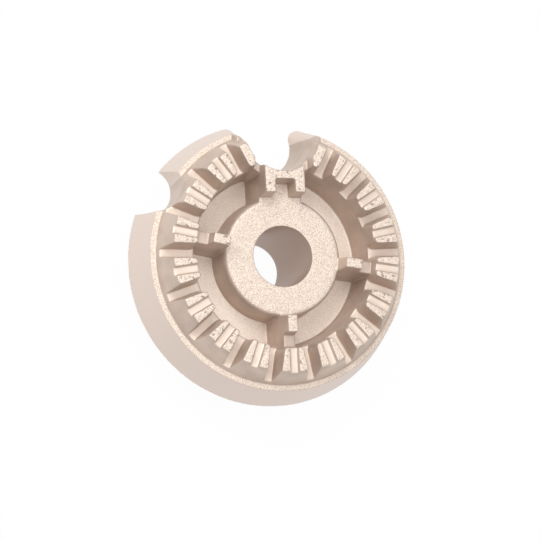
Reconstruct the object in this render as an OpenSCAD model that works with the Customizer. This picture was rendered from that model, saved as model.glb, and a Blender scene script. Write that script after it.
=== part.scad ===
// Gas burner ring: the cast aluminium crown that spreads the flame of a hob burner.
// One casting. The origin is on the bore's axis, in the plane of the skirt's base.
// +Z points to the flame side and +Y to the igniter notch.

/* [Skirt and lip] */
// Diameter over the skirt at its base
base_d = 87.8; // [84:0.2:94]
// Diameter over the flat lip at the top of the skirt
lip_d = 80; // [78:0.2:83]
// Height of the lip above the base
lip_z = 13.2; // [12:0.1:18]
// Width of the flat lip
lip_w = 1.7; // [1:0.1:2.4]
// Wall thickness of the skirt
skirt_t = 2.4; // [1.8:0.1:3]

/* [Port ring] */
// Number of flame ports, half of them on each side of the igniter notch
port_n = 16; // [8:2:16]
// Angle from one port to the next, in degrees
port_pitch = 20.4; // [19:0.1:20.4]
// Width of a port at its floor
port_w = 2.65; // [1.8:0.05:3]
// Draft angle of the port walls, in degrees
port_draft = 7.3; // [4:0.1:8]
// Height of the port floors above the lip
port_floor_h = 1.6; // [0.6:0.1:2.4]
// Radius on the inner corners of the teeth
tooth_round = 1.7; // [0.8:0.1:2]
// Height of the cap lands above the lip
land_h = 8; // [6.5:0.1:10]
// Diameter over the cap lands
land_d = 70; // [67:0.2:72]
// Width of the shallow channel along each tooth
channel_w = 2.3; // [1.2:0.1:2.8]
// Depth of the shallow channel along each tooth
channel_t = 1; // [0.4:0.1:1.6]

/* [Chamber and hub] */
// Diameter of the gas chamber between the cap lands
chamber_d = 55.6; // [54:0.2:57]
// Height of the chamber floor above the base
floor_z = 4.2; // [3.6:0.1:5.5]
// Thickness of the chamber floor
floor_t = 2.6; // [1.8:0.1:3]
// Diameter of the hub at the chamber floor
hub_d = 37.8; // [36:0.2:39]
// Height of the hub's face above the lip
hub_h = 2; // [0.5:0.1:3]
// Radius on the edge of the hub's face
hub_round = 1.6; // [0.6:0.1:2]
// Wall thickness of the hollow hub
hub_t = 2.6; // [2:0.1:3]
// Draft angle of the chamber's walls, in degrees
wall_draft = 4; // [2:0.1:5]
// Radius of the fillet round the chamber floor
floor_fillet = 1; // [0.4:0.1:1.4]

/* [Mixing tube] */
// Diameter of the bore
bore_d = 18.3; // [15:0.1:19]
// Wall thickness of the tube at its lower end
tube_t = 2.2; // [1.6:0.1:2.6]
// Length of the tube below the base
tube_l = 19.8; // [10:0.1:26]

/* [Ribs and bridge] */
// Width of a rib along its top
rib_w = 3; // [2.2:0.1:3.6]
// Distance from the axis to the inner end of a rib's cap land
rib_land_in = 18.1; // [17.6:0.1:19]
// Distance from the axis to the outer end of a rib's cap land
rib_land_out = 23.2; // [21.5:0.1:24]
// Height of the low step beyond the ribs' cap lands, above the lip
step_h = 3.9; // [3:0.1:5]
// Width over the two legs of the bridge
bridge_w = 12.4; // [11.6:0.1:13]
// Width of each leg of the bridge
leg_w = 3.2; // [2.4:0.1:4]
// Distance from the axis to the inner ends of the legs
leg_in = 18.3; // [18:0.1:20]
// Distance from the axis to the near side of the crossbar
bar_in = 22.4; // [21.5:0.1:22.8]

/* [Notches] */
// Radius of the igniter notch at the base
notch_r = 8.9; // [8:0.1:9.2]
// Distance from the axis to the centre of the igniter notch
notch_c = 36.5; // [36:0.1:38]
// Draft angle of the igniter notch, in degrees
notch_draft = 7.5; // [5:0.1:8]
// Radius on the outer corners of the igniter notch
notch_round = 3; // [1.5:0.1:3.4]
// Wall thickness round both notches
notch_t = 2.2; // [1.8:0.1:2.6]
// Radius of the probe notch at the base
probe_r = 7.5; // [5:0.1:7.8]
// Distance from the axis to the centre of the probe notch
probe_c = 43.4; // [43:0.1:45]
// Direction of the probe notch, in degrees from +X
probe_angle = 149.8; // [140:0.1:156]
// Draft angle of the probe notch, in degrees
probe_draft = 1.5; // [0.5:0.1:2]

/* [Hidden] */
$fn = 120;

// Teeth that carry a rib, counted clockwise from the igniter notch
rib_teeth = [3, 7, 12];
tooth_n = port_n - 1;

// Heights above the base
land_z = lip_z + land_h;
tooth_z = land_z - channel_t;
port_z = lip_z + port_floor_h;
hub_z = lip_z + hub_h;
step_z = lip_z + step_h;
under_z = floor_z - floor_t;
ledge_z = tooth_z - 0.1;

// Radii of the section
skirt_slope = (base_d - lip_d) / 2 / lip_z;
flank_foot_r = lip_d / 2 - lip_w;
land_r = land_d / 2;
land_setback = 0.4;
land_draft = 0.1;
chamber_r = chamber_d / 2;
wall_slope = tan(wall_draft);
bore_r = bore_d / 2;

// Small overlap that makes cuts run clear of the surfaces they leave
clear = 1;

// Radius of the chamber's outer wall at height z
function chamber_r_at(z) = chamber_r - (land_z - z) * wall_slope;

// Radius of the hub's wall at height z
function hub_r_at(z) = hub_d / 2 - (z - floor_z) * wall_slope;

// Radius of the skirt at height z, also past its two ends
function skirt_r_at(z) = base_d / 2 - z * skirt_slope;

// Radius of the igniter notch at height z
function notch_r_at(z) = notch_r + z * tan(notch_draft);

// Direction of port i and of tooth i, both counted clockwise from the igniter notch
function port_angle(i) = 90 - notch_gap / 2 - i * port_pitch;
function tooth_angle(i) = port_angle(i) - port_pitch / 2;
notch_gap = 360 - (port_n - 1) * port_pitch;

// Points along an arc from angle a0 to angle a1 in n steps
function arc(c, r, a0, a1, n) =
    [for (k = [0:n]) let (a = a0 + (a1 - a0) * k / n) c + r * [cos(a), sin(a)]];

// Half section of the casting above its underside, with the chamber and the hub
module upper_section() {
    fillet_z = floor_z + floor_fillet;
    round_z = hub_z - hub_round;
    polygon(concat(
        [
            [base_d / 2, 0],
            [lip_d / 2, lip_z],
            [flank_foot_r, lip_z],
            [land_r + land_setback, ledge_z],
            [land_r, ledge_z],
            [land_r - land_draft, land_z],
            [chamber_r, land_z]
        ],
        arc([chamber_r_at(fillet_z) - floor_fillet, fillet_z], floor_fillet, 0, -90, 5),
        [[hub_r_at(floor_z), floor_z]],
        arc([hub_r_at(round_z) - hub_round, round_z], hub_round, 0, 90, 6),
        [
            [0, hub_z],
            [0, 0]
        ]
    ));
}

// Half section of the tube below the base
module tube_section() {
    polygon([
        [0, -tube_l],
        [bore_r + tube_t, -tube_l],
        [tube_r_at(hub_z - hub_t), hub_z - hub_t],
        [0, hub_z - hub_t]
    ]);
}

// Outside radius of the tube at height z
tube_draft = 1;
function tube_r_at(z) = bore_r + tube_t + (z + tube_l) * tan(tube_draft);

// Half section of the hollow underside: a ring round the tube, the floor's underside
// and a ring inside the skirt
module underside_section() {
    hub_top = hub_z - hub_t;
    ring_top = lip_z - skirt_t;
    ring_r = chamber_r + floor_t;
    polygon([
        [tube_r_at(-clear), -clear],
        [tube_r_at(hub_top), hub_top],
        [hub_r_at(hub_top) - hub_t, hub_top],
        [hub_r_at(under_z) - hub_t, under_z],
        [ring_r - (land_z - under_z) * wall_slope, under_z],
        [ring_r - (land_z - ring_top) * wall_slope, ring_top],
        [skirt_r_at(ring_top) - skirt_t, ring_top],
        [skirt_r_at(-clear) - skirt_t, -clear]
    ]);
}

// Flat-bottomed radial cut, wider at its top by the draft angle
module radial_cut(angle, width, z0, z1, draft, r0, r1) {
    half = width / 2;
    grow = (z1 - z0) * tan(draft);
    rotate([0, 0, angle])
        translate([r0, 0, 0])
            rotate([90, 0, 90])
                linear_extrude(r1 - r0)
                    polygon([[-half, z0], [half, z0], [half + grow, z1], [-half - grow, z1]]);
}

// Removes the inner corner of a tooth beside a port and leaves it round.
// The cut leans with the port's wall; side is 1 or -1.
module tooth_corner_cut(angle, side) {
    reach = 2 * tooth_round;
    corner_r = chamber_r_at(port_z) - 0.2;
    rotate([0, 0, angle])
        translate([corner_r, side * port_w / 2, port_z])
            rotate([-side * port_draft, 0, 0])
                difference() {
                    translate([-reach, -tooth_round, 0])
                        cube([reach + tooth_round, 2 * tooth_round, land_h + clear]);
                    translate([tooth_round, side * tooth_round, -clear])
                        cylinder(r = tooth_round, h = land_h + 3 * clear, $fn = 32);
                    if (side > 0)
                        translate([-2 * reach, tooth_round, -clear])
                            cube([4 * reach, reach, land_h + 3 * clear]);
                    if (side < 0)
                        translate([-2 * reach, -tooth_round - reach, -clear])
                            cube([4 * reach, reach, land_h + 3 * clear]);
                }
}

// All cuts through the port ring
module port_cuts() {
    for (i = [0:port_n - 1]) {
        radial_cut(port_angle(i), port_w, port_z, land_z + clear, port_draft,
            chamber_r_at(floor_z) - clear, lip_d / 2);
        tooth_corner_cut(port_angle(i), 1);
        tooth_corner_cut(port_angle(i), -1);
    }
    for (i = [0:tooth_n - 1])
        radial_cut(tooth_angle(i), channel_w, tooth_z, land_z + clear, 2 * wall_draft,
            chamber_r_at(floor_z) - clear, lip_d / 2);
}

// Rib from the hub to the port ring, with a cap land and a low step
module rib(angle) {
    far = chamber_r + clear;
    near = hub_r_at(hub_z) - hub_round - clear;
    tilt = (land_z - hub_z) * wall_slope;
    rotate([0, 0, angle])
        intersection() {
            rotate([90, 0, 0])
                translate([0, 0, -rib_w * 2])
                    linear_extrude(rib_w * 4)
                        polygon([
                            [near, floor_z - clear],
                            [near, hub_z],
                            [rib_land_in - tilt, hub_z],
                            [rib_land_in, land_z],
                            [rib_land_out, land_z],
                            [rib_land_out + tilt, step_z],
                            [far, step_z],
                            [far, floor_z - clear]
                        ]);
            tapered_bar(rib_w, near - clear, far + clear);
        }
}

// Bar along X, of the given width at the height of the cap lands and wider below
module tapered_bar(width, x0, x1) {
    low_z = floor_z - 2 * clear;
    grow = (land_z - low_z) * wall_slope;
    half = width / 2;
    translate([x0, 0, 0])
        rotate([90, 0, 90])
            linear_extrude(x1 - x0)
                polygon([[-half - grow, low_z], [half + grow, low_z], [half, land_z], [-half, land_z]]);
}

// Bridge on the notch side: a block at the height of the hub's face, two legs and a crossbar
module bridge() {
    near = hub_r_at(hub_z) - hub_round - clear;
    tilt = (land_z - hub_z) * wall_slope;
    gap = bridge_w - 2 * leg_w;
    rotate([0, 0, 90])
        difference() {
            intersection() {
                rotate([90, 0, 0])
                    translate([0, 0, -bridge_w])
                        linear_extrude(2 * bridge_w)
                            polygon([
                                [near, floor_z - clear],
                                [near, hub_z],
                                [leg_in - tilt, hub_z],
                                [leg_in, land_z],
                                [notch_c, land_z],
                                [notch_c, floor_z - clear]
                            ]);
                tapered_bar(bridge_w, near - clear, notch_c + clear);
            }
            translate([bar_in - tilt, 0, 0])
                bridge_gap(gap, tilt);
        }
}

// Space between the two legs, open to the hub and drafted on its three walls
module bridge_gap(gap, tilt) {
    low = gap / 2 - tilt;
    high = gap / 2 + clear * wall_slope;
    end = tilt + clear * wall_slope;
    back = leg_in - bar_in - 2 * clear;
    top = land_z + clear;
    polyhedron(
        points = [
            [back, -low, hub_z], [0, -low, hub_z], [0, low, hub_z], [back, low, hub_z],
            [back, -high, top], [end, -high, top], [end, high, top], [back, high, top]
        ],
        faces = [
            [0, 1, 2, 3], [7, 6, 5, 4], [0, 4, 5, 1], [1, 5, 6, 2], [2, 6, 7, 3], [3, 7, 4, 0]
        ]
    );
}

// Wall between the chamber and the igniter notch, as high as the low step
module notch_wall() {
    top_r = notch_r_at(step_z) + notch_t;
    low_r = top_r + (step_z - floor_z) * wall_slope;
    translate([0, notch_c, floor_z - clear])
        cylinder(r1 = low_r, r2 = top_r, h = step_z - floor_z + clear);
}

// Opening above the low step, on both sides of the bridge, between the first and last teeth
module notch_shoulder_cut() {
    half = notch_r_at(0) - 0.2;
    grow = (land_z + clear - step_z) * wall_slope;
    translate([0, notch_c, 0])
        rotate([90, 0, 0])
            linear_extrude(notch_c - chamber_r_at(step_z) + 4)
                polygon([
                    [-half, step_z], [half, step_z],
                    [half + grow, land_z + clear], [-half - grow, land_z + clear]
                ]);
}

// Outline of the notch's mouth at height z, from its centre outwards, with round outer corners.
// Each corner's arc touches the skirt and runs into the round wall of the notch.
function mouth_outline(z) = let (
    r = notch_r_at(z),
    big = skirt_r_at(z),
    f = notch_round,
    reach = big - f + 0.06,
    cy = (pow(reach, 2) - pow(r + f, 2) + pow(notch_c, 2)) / 2 / notch_c,
    cx = sqrt(pow(reach, 2) - cy * cy),
    rim = atan2(cy, cx),
    touch = 180 + atan2(cy - notch_c, cx),
    far = base_d / 8 * [cos(rim), sin(rim)],
    right = concat(
        [[cx, cy] + f * [cos(rim), sin(rim)] + far],
        arc([cx, cy], f, rim, touch - 8, 8)
    ),
    left = [for (k = [len(right) - 1:-1:0]) [-right[k][0], right[k][1]]]
) concat([[0, base_d]], right, [[0, notch_c]], left);

// Cutter for the igniter notch: a cone, and its mouth as a loft through outlines at rising heights
module notch_cut() {
    z0 = -clear;
    z1 = land_z + clear;
    steps = 5;
    heights = [for (i = [0:steps]) z0 + (z1 - z0) * i / steps];
    n = len(mouth_outline(z0));
    translate([0, notch_c, z0])
        cylinder(r1 = notch_r_at(z0), r2 = notch_r_at(z1), h = z1 - z0);
    polyhedron(
        points = [for (z = heights) for (p = mouth_outline(z)) [p[0], p[1], z]],
        faces = concat(
            [[for (k = [n - 1:-1:0]) k]],
            [[for (k = [0:n - 1]) steps * n + k]],
            [for (i = [0:steps - 1]) for (k = [0:n - 1])
                let (j = i * n, m = (k + 1) % n)
                [j + k, j + m, j + n + m, j + n + k]]
        )
    );
}

// Solid round the probe notch; grow widens it to leave a wall
module probe_round(grow) {
    z0 = -2 * clear;
    z1 = land_z + clear;
    rotate([0, 0, probe_angle])
        translate([probe_c, 0, z0])
            cylinder(
                r1 = probe_r + grow + z0 * tan(probe_draft),
                r2 = probe_r + grow + z1 * tan(probe_draft),
                h = z1 - z0
            );
}

// Hollow underside, kept clear of both notches by their walls
module underside() {
    z0 = -2 * clear;
    difference() {
        rotate_extrude()
            underside_section();
        translate([0, notch_c, z0])
            cylinder(r1 = notch_r_at(z0) + notch_t, r2 = notch_r_at(land_z) + notch_t, h = land_z - z0);
        probe_round(notch_t);
    }
}

module burner_ring() {
    color([0.86, 0.81, 0.75])
        difference() {
            union() {
                difference() {
                    union() {
                        difference() {
                            rotate_extrude()
                                upper_section();
                            notch_shoulder_cut();
                        }
                        notch_wall();
                    }
                    port_cuts();
                }
                for (i = rib_teeth)
                    rib(tooth_angle(i));
                bridge();
            }
            underside();
            notch_cut();
            probe_round(0);
            translate([0, 0, -clear])
                cylinder(r = bore_r, h = hub_z + 2 * clear);
        }
    color([0.8, 0.75, 0.69])
        difference() {
            rotate_extrude()
                tube_section();
            translate([0, 0, -tube_l - clear])
                cylinder(r = bore_r, h = tube_l + hub_z + 2 * clear);
        }
}

burner_ring();
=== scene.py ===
"""A cast aluminium burner ring from a gas hob, dressed for a studio picture.

A finished copy of it has softened edges and the small unevenness of a cast skin, and one material
gives
each zone of the casting its own finish: grainy flats, rough cap lands, smooth draft faces and
skirt, with painted shade in crevices and land pits and painted light on the chamber floor.
"""

import math

import bpy
import numpy as np
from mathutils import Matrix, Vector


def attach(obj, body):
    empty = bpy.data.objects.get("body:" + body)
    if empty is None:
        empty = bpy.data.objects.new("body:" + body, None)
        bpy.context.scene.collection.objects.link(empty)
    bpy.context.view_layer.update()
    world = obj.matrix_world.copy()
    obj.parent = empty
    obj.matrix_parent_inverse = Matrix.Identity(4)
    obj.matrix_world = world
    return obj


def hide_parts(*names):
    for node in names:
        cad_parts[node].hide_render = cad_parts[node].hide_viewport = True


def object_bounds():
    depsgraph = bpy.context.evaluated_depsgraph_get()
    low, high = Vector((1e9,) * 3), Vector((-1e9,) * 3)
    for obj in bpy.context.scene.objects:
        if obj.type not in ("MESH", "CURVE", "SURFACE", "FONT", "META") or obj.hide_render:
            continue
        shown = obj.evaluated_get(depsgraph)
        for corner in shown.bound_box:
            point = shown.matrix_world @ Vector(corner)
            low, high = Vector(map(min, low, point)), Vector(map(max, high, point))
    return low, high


MM = 0.001

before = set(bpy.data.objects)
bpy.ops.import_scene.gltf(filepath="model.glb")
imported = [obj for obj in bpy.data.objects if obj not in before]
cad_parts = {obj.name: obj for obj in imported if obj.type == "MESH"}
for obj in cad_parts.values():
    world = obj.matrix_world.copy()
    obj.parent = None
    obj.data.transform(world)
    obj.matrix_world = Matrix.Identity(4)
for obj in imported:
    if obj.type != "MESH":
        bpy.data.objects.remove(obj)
cad_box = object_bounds()

# Shader maths


class Val:
    """A socket that Python operators build Math nodes on."""

    def __init__(self, tree, socket):
        self.tree, self.socket = tree, socket

    def sibling(self, name):
        """Another output of the same node."""
        return Val(self.tree, self.socket.node.outputs[name])

    def math(self, operation, *others):
        values = {i: o for i, o in enumerate((self,) + others)}
        return self.tree.add("ShaderNodeMath", {"operation": operation}, values)

    def __add__(self, other):
        return self.math("ADD", other)

    def __radd__(self, other):
        return self.math("ADD", other)

    def __sub__(self, other):
        return self.math("SUBTRACT", other)

    def __rsub__(self, other):
        return self.tree.add("ShaderNodeMath", {"operation": "SUBTRACT"}, {0: other, 1: self})

    def __mul__(self, other):
        return self.math("MULTIPLY", other)

    def __rmul__(self, other):
        return self.math("MULTIPLY", other)

    def __truediv__(self, other):
        return self.math("DIVIDE", other)

    def power(self, other):
        return self.math("POWER", other)

    def step(self, low, high):
        """0 below low, 1 above high, with a smooth ramp between them."""
        return self.tree.add(
            "ShaderNodeMapRange",
            {"interpolation_type": "SMOOTHSTEP", "clamp": True},
            {"Value": self, "From Min": low, "From Max": high},
            "Result",
        )

    def band(self, low, high, soft):
        """1 between low and high, falling to 0 over soft on each side."""
        return self.step(low - soft, low + soft) * (1 - self.step(high - soft, high + soft))


class Tree:
    """A material's node tree."""

    def __init__(self, name):
        self.material = bpy.data.materials.new(name)
        self.material.use_nodes = True
        self.nodes = self.material.node_tree.nodes
        self.links = self.material.node_tree.links
        self.nodes.clear()

    def add(self, kind, settings=None, values=None, output=0):
        """One node: its settings first, then the values or links of its sockets."""
        node = self.nodes.new(kind)
        for key, value in (settings or {}).items():
            setattr(node, key, value)
        for key, value in (values or {}).items():
            socket = node.inputs[key]
            if isinstance(value, Val):
                self.links.new(value.socket, socket)
            else:
                socket.default_value = value
        return Val(self, node.outputs[output]) if node.outputs else None

    def mix_colour(self, factor, a, b, blend="MIX"):
        """Colour a turned towards colour b by factor."""
        node = self.nodes.new("ShaderNodeMix")
        node.data_type, node.blend_type = "RGBA", blend
        for key, value in ((0, factor), (6, a), (7, b)):
            if isinstance(value, Val):
                self.links.new(value.socket, node.inputs[key])
            else:
                node.inputs[key].default_value = value
        return Val(self, node.outputs[2])

    def noise(self, place, size, detail=2.0, roughness=0.5):
        """Noise from 0 to 1 with features of the given size in metres."""
        return self.add(
            "ShaderNodeTexNoise",
            {"noise_dimensions": "3D"},
            {"Vector": place, "Scale": 1 / size, "Detail": detail, "Roughness": roughness},
        )


def colour(r, g, b):
    """A colour written as it shows on screen, 0 to 255, turned into linear light."""
    def linear(c):
        c = c / 255
        return c / 12.92 if c <= 0.04045 else ((c + 0.055) / 1.055) ** 2.4

    return (linear(r), linear(g), linear(b), 1.0)


# The casting

# Heights of the level faces
LAND_Z = cad_box[1][2]
HUB_Z = LAND_Z - 6.0 * MM
LIP_Z = LAND_Z - 8.0 * MM
FLOOR_Z = LAND_Z - 17.0 * MM
# Radii of the round edges
BASE_R = cad_box[1][0]
RIM_R = 40.0 * MM
LIP_R = 38.3 * MM
PORT_IN_R = 27.2 * MM
BORE_R = 9.15 * MM
# Fineness of the finished skin
VOXEL, TRIANGLES = ((0.24 * MM, 190000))
# Colours of the finishes, of painted shade and of painted light
WALL_DARK, WALL_PALE = colour(196, 177, 163), colour(210, 191, 177)
TOP_DARK, TOP_PALE = colour(222, 204, 189), colour(232, 215, 200)
GRAIN_DARK, GRAIN_PALE = colour(206, 187, 171), colour(242, 226, 212)
SKIRT_PINK = colour(226, 209, 198)
BORE_BROWN = colour(206, 182, 166)
# Painted light for the chamber floor
FLOOR_PAINTED_LIGHT = colour(252, 240, 228)
# Painted shade for the pits of the cap lands
PIT_PAINTED_SHADE = colour(120, 104, 90)
# Painted shade for crevices and the feet of walls
CREVICE_PAINTED_SHADE = colour(96, 80, 70)


def trim_to_skirt(mesh):
    """Pull every vertex that stands outside the skirt's cone in to the cone.

    The cone's radius falls in a straight line from the base rim to the lip.
    """
    points = np.empty(len(mesh.vertices) * 3, dtype=np.float32)
    mesh.vertices.foreach_get("co", points)
    points = points.reshape(-1, 3)
    rise = np.clip(points[:, 2] / LIP_Z, 0, 1)
    cone = BASE_R + (RIM_R - BASE_R) * rise
    radius = np.maximum(np.hypot(points[:, 0], points[:, 1]), MM)
    points[:, :2] *= np.minimum(1, cone / radius)[:, None]
    mesh.vertices.foreach_set("co", points.ravel())


def applied(item):
    """The item's mesh with its modifiers applied."""
    graph = bpy.context.evaluated_depsgraph_get()
    return bpy.data.meshes.new_from_object(item.evaluated_get(graph))


def finished_casting(node, voxel, triangles):
    """The CAD casting with its edges softened and its skin made slightly uneven.

    A merged copy of the CAD mesh, trimmed to the skirt's cone, is rebuilt on an even
    grid. Each vertex is moved a few times towards the mean of its neighbours, then
    along its normal by a low cloud noise. The result is thinned to the given number
    of triangles.
    """
    mesh = node.data.copy()
    trim_to_skirt(mesh)
    mesh.name = "ring_skin"
    skin = bpy.data.objects.new("ring_skin", mesh)
    bpy.context.scene.collection.objects.link(skin)
    merge = skin.modifiers.new("merge", "WELD")
    merge.merge_threshold = 1e-6
    grid = skin.modifiers.new("grid", "REMESH")
    grid.mode, grid.voxel_size, grid.use_smooth_shade = "VOXEL", voxel, True
    soften = skin.modifiers.new("soften", "SMOOTH")
    soften.factor, soften.iterations = 0.5, 4
    cloud = bpy.data.textures.new("casting_skin", "CLOUDS")
    cloud.noise_scale, cloud.noise_depth = 1.1 * MM, 2
    uneven = skin.modifiers.new("uneven", "DISPLACE")
    uneven.texture, uneven.texture_coords = cloud, "LOCAL"
    uneven.strength, uneven.mid_level = 0.06 * MM, 0.5
    baked = applied(skin)
    skin.modifiers.clear()
    skin.data = baked
    baked.calc_loop_triangles()
    thin = skin.modifiers.new("thin", "DECIMATE")
    thin.ratio = min(1.0, triangles / len(baked.loop_triangles))
    final = applied(skin)
    skin.modifiers.clear()
    skin.data = final
    final.name = "ring_skin"
    final.shade_smooth()
    final.materials.clear()
    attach(skin, "root")
    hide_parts(node.name)
    return skin


def cast_material():
    """A finish for each zone of the casting, chosen by height, radius and slope, plus painted
    shade and light.
    """
    t = Tree("cast_aluminium_with_painted_light_and_shade")
    place = t.add("ShaderNodeTexCoord", {}, {}, "Object")
    parts = t.add("ShaderNodeSeparateXYZ", {}, {0: place})
    x, y, z = parts, parts.sibling("Y"), parts.sibling("Z")
    radius = (x * x + y * y).power(0.5)
    slope = t.add("ShaderNodeSeparateXYZ", {}, {0: place.sibling("Normal")}).sibling("Z")
    flat = slope.step(0.72, 0.92)
    soft = 0.15 * MM

    land = flat * z.step(LAND_Z - 0.5 * MM, LAND_Z - 0.25 * MM)
    past_teeth = radius.step(PORT_IN_R, PORT_IN_R + MM)
    channel = flat * z.band(LAND_Z - 1.4 * MM, LAND_Z - 0.6 * MM, soft) * past_teeth
    port = flat * z.band(LIP_Z + 0.9 * MM, LIP_Z + 2.2 * MM, soft) * past_teeth
    lip = flat * z.band(LIP_Z - 0.5 * MM, LIP_Z + 0.5 * MM, soft) * radius.step(LIP_R - MM, LIP_R)
    inside_teeth = 1 - radius.step(PORT_IN_R - 1.5 * MM, PORT_IN_R)
    hub = flat * z.band(HUB_Z - 0.5 * MM, HUB_Z + 0.5 * MM, soft) * inside_teeth
    floor = flat * z.band(FLOOR_Z - 0.6 * MM, FLOOR_Z + 0.6 * MM, soft)
    outside = radius.step(LIP_R - 0.2 * MM, LIP_R + 0.3 * MM)
    skirt = outside * (1 - flat) * (1 - z.step(LIP_Z, LIP_Z + 0.2 * MM))
    bore = 1 - radius.step(BORE_R + 0.1 * MM, BORE_R + 0.3 * MM)
    sandy = (land + lip + hub + floor).math("MINIMUM", 1.0)

    grain = t.noise(place, 0.34 * MM, 2.0, 0.55)
    coarse = t.noise(place, 1.1 * MM, 2.0, 0.5)
    patch = t.noise(place, 6 * MM, 2.0, 0.5)

    wall = t.mix_colour(patch.step(0.3, 0.7), WALL_DARK, WALL_PALE)
    base = t.mix_colour(skirt, wall, SKIRT_PINK)
    base = t.mix_colour(bore, base, BORE_BROWN)
    smooth_top = t.mix_colour(patch.step(0.3, 0.7), TOP_DARK, TOP_PALE)
    base = t.mix_colour((channel + port).math("MINIMUM", 1.0), base, smooth_top)
    speck = t.mix_colour(grain.step(0.36, 0.6), GRAIN_DARK, GRAIN_PALE)
    base = t.mix_colour(sandy, base, speck)
    # Painted light: the chamber floor at the bottom of the pit is turned 60% towards a pale
    # colour, brighter than the other flats, standing in for the light that reaches it
    base = t.mix_colour(floor * 0.6, base, FLOOR_PAINTED_LIGHT)
    # Painted shade: the low spots of the lands' coarse bump are darkened to a brown, standing in
    # for the shade inside casting pits
    pit_shade_mask = land * (1 - coarse.step(0.3, 0.42))
    base = t.mix_colour(pit_shade_mask * 0.7, base, PIT_PAINTED_SHADE)
    # Painted shade: the colour is darkened towards a brown where ambient occlusion finds the
    # surface enclosed, in crevices and at the feet of walls
    open_sky = t.add("ShaderNodeAmbientOcclusion", {"samples": 8}, {"Distance": 2.5 * MM}, "AO")
    base = t.mix_colour((1 - open_sky.step(0.05, 0.75)) * 0.55, base, CREVICE_PAINTED_SHADE)

    height = sandy * (grain + land * coarse) + (1 - sandy) * grain * 0.15
    bump = t.add("ShaderNodeBump", {}, {"Strength": 0.8, "Distance": 0.12 * MM, "Height": height})
    rough = 0.42 + sandy * 0.12
    shader = t.add(
        "ShaderNodeBsdfPrincipled",
        {},
        {"Base Color": base, "Roughness": rough, "Metallic": 0.35, "Normal": bump},
    )
    t.add("ShaderNodeOutputMaterial", {}, {"Surface": shader})
    return t.material


skin = finished_casting(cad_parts["burner_ring"], VOXEL, TRIANGLES)
skin.data.materials.append(cast_material())

# The studio


def seen_ray(t):
    """1 for a ray from the camera, a reflection or a transmission, else 0."""
    camera = t.add("ShaderNodeLightPath", output="Is Camera Ray")
    seen = camera + camera.sibling("Is Glossy Ray") + camera.sibling("Is Transmission Ray")
    return seen.math("MINIMUM", 1.0)


def floor_material():
    """White paper that shows white to the camera and in reflections, and keeps the shadow."""
    t = Tree("studio_floor")
    paper = t.add("ShaderNodeBsdfDiffuse", {}, {"Color": (0.9, 0.9, 0.9, 1)})
    glow = t.add("ShaderNodeEmission", {}, {"Color": (1, 1, 1, 1), "Strength": 1.0})
    mixed = t.add("ShaderNodeMixShader", {}, {0: seen_ray(t) * 0.97, 1: paper, 2: glow})
    t.add("ShaderNodeOutputMaterial", {}, {"Surface": mixed})
    return t.material


def floor_sheet(half, height):
    """A square sheet of the given half width, level at the given height."""
    corners = [(x * half, y * half, height) for x, y in ((-1, -1), (1, -1), (1, 1), (-1, 1))]
    mesh = bpy.data.meshes.new("studio_floor")
    mesh.from_pydata(corners, [], [(0, 1, 2, 3)])
    sheet = bpy.data.objects.new("studio_floor", mesh)
    bpy.context.scene.collection.objects.link(sheet)
    mesh.materials.append(floor_material())
    return sheet


def soft_lamp(name, place, size, power):
    """A square area lamp at place that faces the middle of the casting."""
    lamp = bpy.data.lights.new(name, "AREA")
    lamp.size, lamp.energy = size, power
    item = bpy.data.objects.new(name, lamp)
    item.location = place
    away = np.array(place) / np.linalg.norm(place)
    item.rotation_euler = (math.acos(away[2]), 0, math.atan2(away[1], away[0]) + math.pi / 2)
    bpy.context.scene.collection.objects.link(item)


# The camera's place in metres, its turn in degrees and its lens in millimetres
CAMERA_PLACE = (-0.12803, -0.05897, 0.39869)
CAMERA_TURN = (8.671, -17.466, -3.021)
CAMERA_LENS = 91.4

floor_sheet(3.0, cad_box[0][2] - 0.02 * MM)
soft_lamp("top_left_lamp", (-0.35, 0.45, 0.8), 0.6, 5.0)
soft_lamp("overhead_lamp", (0.1, -0.12, 0.95), 0.8, 2.7)

world = bpy.data.worlds.new("studio_world")
world.use_nodes = True
world.node_tree.nodes["Background"].inputs["Color"].default_value = (1, 1, 1, 1)
world.node_tree.nodes["Background"].inputs["Strength"].default_value = 0.56
bpy.context.scene.world = world

camera_data = bpy.data.cameras.new("camera")
camera_data.lens, camera_data.sensor_width = CAMERA_LENS, 36
camera = bpy.data.objects.new("camera", camera_data)
camera.location = CAMERA_PLACE
camera.rotation_euler = [math.radians(a) for a in CAMERA_TURN]
bpy.context.scene.collection.objects.link(camera)
bpy.context.scene.camera = camera
bpy.context.scene.view_settings.view_transform = "Standard"
